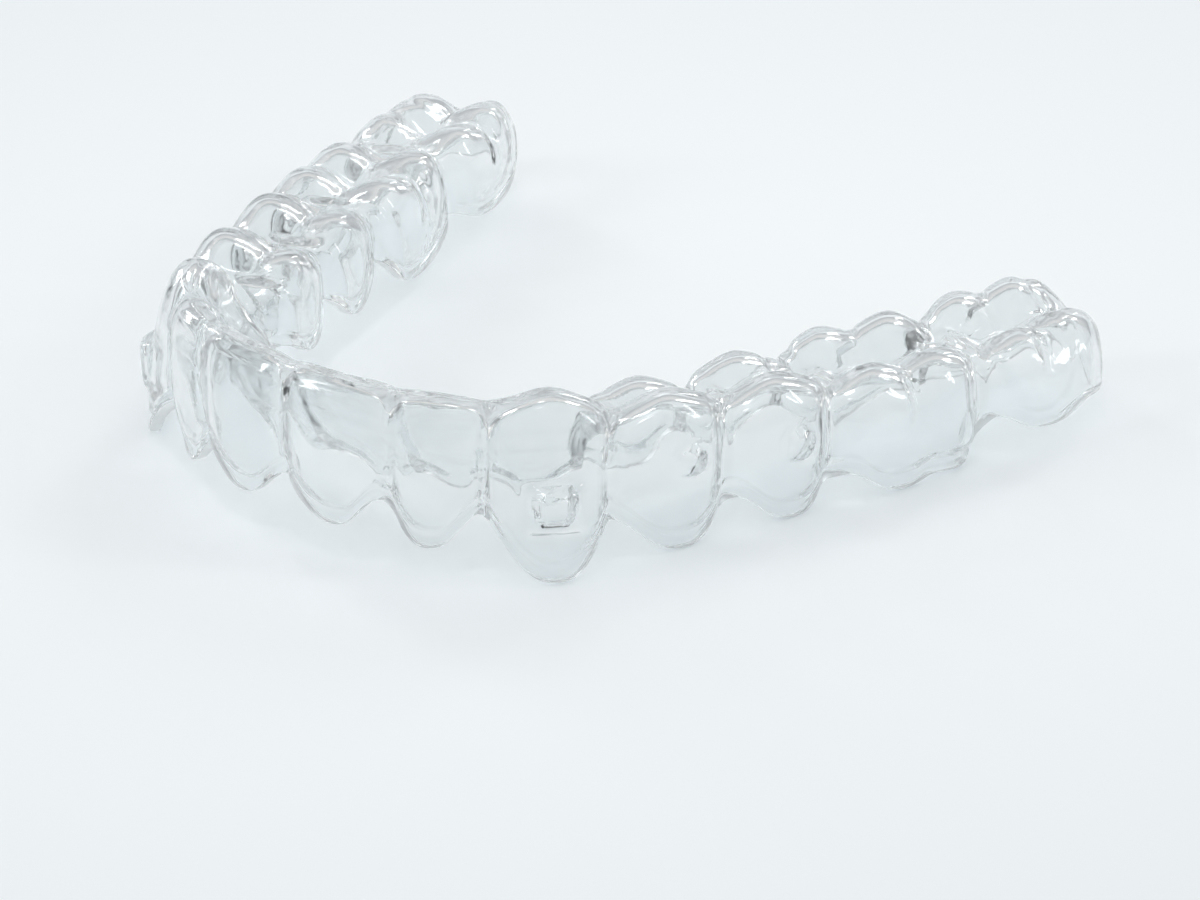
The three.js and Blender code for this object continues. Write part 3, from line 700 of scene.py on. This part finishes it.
# %% [markdown]
# ## Clear plastic
#
# The sheet is a clear thermoplastic polyester or polyurethane. Light goes through it, so the
# shader transmits, with an index of refraction of 1.5. Hot forming leaves a faint waviness of
# about a millimetre and, in places, a slight haze. Both are mild noises: one drives a bump, the
# other the roughness. The tint is a pale grey-blue, which the eye reads as thickness at the
# edges. The trimmed edge was cut and then polished by hand, so it stays a little satin and
# shows as a soft line along the gum side.
#
# A ray that looks for a lamp runs straight, but light bends in the wall, so the wall would hide
# every lamp and throw a shadow like black card. For those rays alone the wall counts as a
# thin pale film, which leaves the shell and the floor behind it lit.

# %% Colours and a helper for nodes
COLOUR_A, COLOUR_B = 6, 7


def linear(hex_colour):
    """sRGB hex string to linear red, green, blue and alpha 1."""
    srgb = np.array([int(hex_colour[i:i + 2], 16) for i in (1, 3, 5)]) / 255
    rgb = np.where(srgb <= 0.04045, srgb / 12.92, ((srgb + 0.055) / 1.055) ** 2.4)
    return (*rgb.tolist(), 1.0)


def add_node(tree, kind, links=(), values=(), **settings):
    """New node: settings by name, values as (socket, value) and links as (socket, output)."""
    node = tree.nodes.new(kind)
    for socket, value in values:
        node.inputs[socket].default_value = value
    for key, value in settings.items():
        if hasattr(node, key):
            setattr(node, key, value)
        else:
            node.inputs[key.replace("_", " ")].default_value = value
    for socket, source in links:
        tree.links.new(source, node.inputs[socket])
    return node


# %% The clear sheet
WAVES_PER_MM, GRAINS_PER_MM, WAVE_HEIGHT = 0.7, 3.5, 0.03
EDGE_ROUGHNESS, EDGE_CLOUDINESS = 0.25, 0.45
# Thermoformed sheet: near-mirror faces that highlights glide along, bent a little by the waves.
sheet = bpy.data.materials.new("clear_thermoformed_sheet")
sheet.use_nodes = True
tree = sheet.node_tree
tree.nodes.clear()
coordinates = add_node(tree, "ShaderNodeTexCoord")
in_mm = add_node(tree, "ShaderNodeMapping", Scale=(1 / MM, 1 / MM, 1 / MM),
                 links=[("Vector", coordinates.outputs["Object"])])
waves = add_node(tree, "ShaderNodeTexNoise", Scale=WAVES_PER_MM, Detail=2.0, Roughness=0.4,
                 links=[("Vector", in_mm.outputs["Vector"])])
grain = add_node(tree, "ShaderNodeTexNoise", Scale=GRAINS_PER_MM, Detail=3.0, Roughness=0.6,
                 links=[("Vector", in_mm.outputs["Vector"])])
haze = add_node(tree, "ShaderNodeMapRange", From_Min=0.35, From_Max=0.75,
                To_Min=0.03, To_Max=0.12, links=[("Value", grain.outputs["Fac"])])
edge = add_node(tree, "ShaderNodeAttribute", attribute_name="trimmed_edge")
satin = add_node(tree, "ShaderNodeMath", operation="MULTIPLY_ADD", values=[(1, EDGE_ROUGHNESS)],
                 links=[(0, edge.outputs["Fac"]), (2, haze.outputs["Result"])])
clearness = add_node(tree, "ShaderNodeMath", operation="MULTIPLY_ADD",
                     values=[(1, -EDGE_CLOUDINESS), (2, 1.0)],
                     links=[(0, edge.outputs["Fac"])])
tint = add_node(tree, "ShaderNodeMix", data_type="RGBA",
                values=[(COLOUR_A, linear("#F2F5F6")), (COLOUR_B, linear("#FAFBFB"))],
                links=[("Factor", waves.outputs["Fac"])])
bump = add_node(tree, "ShaderNodeBump", Strength=0.25, Distance=WAVE_HEIGHT * MM,
                links=[("Height", waves.outputs["Fac"])])
plastic = add_node(tree, "ShaderNodeBsdfPrincipled", IOR=1.5,
                   links=[("Base Color", tint.outputs[2]), ("Roughness", satin.outputs["Value"]),
                          ("Transmission Weight", clearness.outputs["Value"]),
                          ("Normal", bump.outputs["Normal"])])
lamp_light = add_node(tree, "ShaderNodeBsdfTransparent", Color=linear("#CED2D4"))
path = add_node(tree, "ShaderNodeLightPath")
both = add_node(tree, "ShaderNodeMixShader",
                links=[(0, path.outputs["Is Shadow Ray"]), (1, plastic.outputs["BSDF"]),
                       (2, lamp_light.outputs["BSDF"])])
add_node(tree, "ShaderNodeOutputMaterial", links=[("Surface", both.outputs["Shader"])])
shell.data.materials.append(sheet)
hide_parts("aligner_shell")
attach(shell, "root")
print("shell wears", sheet.name)

# %% [markdown]
# ## Floor
#
# Clear plastic shows what lies behind it, so the floor is part of its look: pale paint with a
# painted pool of light, lightest around the shell, and painted shade a little greyer from 3 to
# 15 cm away, as lit paper looks. The greyer ring is what the edges bend into view, and that draws
# them.

# %% Pale floor
FLOOR_HALF = 0.9
PAINTED_LIGHT_TO, PAINTED_SHADE_FROM = 0.03, 0.15
corners = [(x * FLOOR_HALF, y * FLOOR_HALF, 0) for x, y in ((-1, -1), (1, -1), (1, 1), (-1, 1))]
floor_mesh = bpy.data.meshes.new("pale_floor")
floor_mesh.from_pydata(corners, [], [(0, 1, 2, 3)])
floor = bpy.data.objects.new("pale_floor", floor_mesh)
bpy.context.scene.collection.objects.link(floor)
paint = bpy.data.materials.new("pale_paint_with_painted_light_pool")
paint.use_nodes = True
tree = paint.node_tree
tree.nodes.clear()
coordinates = add_node(tree, "ShaderNodeTexCoord")
# Painted pool of light: the floor colour is lighter within 3 cm of the shell and greyer out to 15
# cm, a painted shade that stands in for the fall of lamp light.
away = add_node(tree, "ShaderNodeVectorMath", operation="LENGTH",
                links=[("Vector", coordinates.outputs["Object"])])
falloff = add_node(tree, "ShaderNodeMapRange", From_Min=PAINTED_LIGHT_TO, From_Max=PAINTED_SHADE_FROM,
                   links=[("Value", away.outputs["Value"])])
shade = add_node(tree, "ShaderNodeMix", data_type="RGBA",
                 values=[(COLOUR_A, linear("#F0F4F6")), (COLOUR_B, linear("#DCE1E5"))],
                 links=[("Factor", falloff.outputs["Result"])])
# Matte paint: no streak of a lamp on it, so every bright line belongs to the shell.
matte = add_node(tree, "ShaderNodeBsdfPrincipled", Roughness=0.85,
                 links=[("Base Color", shade.outputs[2])])
add_node(tree, "ShaderNodeOutputMaterial", links=[("Surface", matte.outputs["BSDF"])])
floor_mesh.materials.append(paint)
print("floor", 2 * FLOOR_HALF, "m wide")

# %% [markdown]
# ## Light
#
# Bright narrow softboxes in a plainer room draw clear plastic: each rounded ridge returns a
# thin streak of the box. The room's ceiling is light and its walls are grey, so the edges,
# where the plastic shows what stands beside it, come out grey. The same light from all round
# would make the shell vanish.

# %% Room and softboxes
WALL_FOOT, CEILING = -0.1, 0.5
LAMP_DISTANCE = 0.5
SOFTBOXES = [
    dict(name="softbox_left", azimuth=-38, elevation=30, size=(0.042, 0.19), power=0.30),
    dict(name="softbox_side", azimuth=-100, elevation=24, size=(0.04, 0.20), power=0.28),
    dict(name="softbox_right", azimuth=120, elevation=30, size=(0.042, 0.19), power=0.28),
    dict(name="softbox_back", azimuth=190, elevation=34, size=(0.04, 0.20), power=0.28),
    dict(name="softbox_top", azimuth=40, elevation=74, size=(0.055, 0.055), power=0.20),
]
room = bpy.data.worlds.new("room")
bpy.context.scene.world = room
room.use_nodes = True
tree = room.node_tree
tree.nodes.clear()
direction = add_node(tree, "ShaderNodeTexCoord")
height = add_node(tree, "ShaderNodeSeparateXYZ",
                  links=[("Vector", direction.outputs["Generated"])])
upward = add_node(tree, "ShaderNodeMapRange", interpolation_type="SMOOTHSTEP",
                  From_Min=WALL_FOOT, From_Max=CEILING, links=[("Value", height.outputs["Z"])])
wall_to_ceiling = add_node(tree, "ShaderNodeMix", data_type="RGBA",
                           values=[(COLOUR_A, linear("#BAC0C5")), (COLOUR_B, linear("#F6F7F7"))],
                           links=[("Factor", upward.outputs["Result"])])
sky = add_node(tree, "ShaderNodeBackground", Strength=0.80,
               links=[("Color", wall_to_ceiling.outputs[2])])
add_node(tree, "ShaderNodeOutputWorld", links=[("Surface", sky.outputs["Background"])])


def softbox(name, azimuth, elevation, size, power):
    """Lamp that looks at the origin from that direction; azimuth 0 is in front (-Y)."""
    lamp = bpy.data.lights.new(name, "AREA")
    lamp.shape = "RECTANGLE"
    lamp.size, lamp.size_y = size
    lamp.energy = power
    box = bpy.data.objects.new(name, lamp)
    a, e = math.radians(azimuth), math.radians(elevation)
    towards = (math.sin(a) * math.cos(e), -math.cos(a) * math.cos(e), math.sin(e))
    box.location = [LAMP_DISTANCE * part for part in towards]
    box.rotation_euler = (math.pi / 2 - e, 0, a)
    bpy.context.scene.collection.objects.link(box)


for lamp in SOFTBOXES:
    softbox(**lamp)
print(len(SOFTBOXES), "softboxes")

# %% [markdown]
# ## Camera
#
# The camera was worked out from pairs of left and right points of the tooth row in the
# picture: a long lens, about 43 degrees round to the shell's right front and 23 degrees above
# it. It was measured on the level row, so it takes the same tilt and shift as the skin.

# %% Camera at the picture's viewing angle
FOCAL_PIXELS, IMAGE_WIDTH, SENSOR = 7233.0, 1200, 36.0
EYE = np.array([298.28, -297.51, 172.01])
RIGHT = np.array([0.73364, 0.67951, 0.00628])
UP = np.array([-0.26966, 0.28263, 0.92055])
camera_data = bpy.data.cameras.new("camera")
camera_data.sensor_width = SENSOR
camera_data.lens = SENSOR * FOCAL_PIXELS / IMAGE_WIDTH
camera_data.clip_start, camera_data.clip_end = 0.01, 20.0
camera = bpy.data.objects.new("camera", camera_data)
bpy.context.scene.collection.objects.link(camera)
axes = np.stack([tip @ RIGHT, tip @ UP, tip @ np.cross(RIGHT, UP)], axis=1)
matrix = np.eye(4)
matrix[:3, :3] = axes
matrix[:3, 3] = (tip @ EYE + shift) * MM
camera.matrix_world = Matrix(matrix.tolist())
bpy.context.scene.camera = camera
bpy.context.scene.view_settings.view_transform = "Standard"
print("lens", round(camera_data.lens), "mm")

# %% [markdown]
# ## Room for bounces
#
# Light that is caught in the wall goes from face to face many times before it leaves along an
# edge. A path that is cut short counts as black, so low limits would ink in every edge.

# %% Limits on bounces
light_paths = bpy.context.scene.cycles
light_paths.max_bounces = light_paths.transmission_bounces = 12
light_paths.glossy_bounces = 10
print("up to", light_paths.max_bounces, "bounces,", light_paths.glossy_bounces, "of them glossy")

# %% Update the scene and finish
bpy.context.view_layer.update()
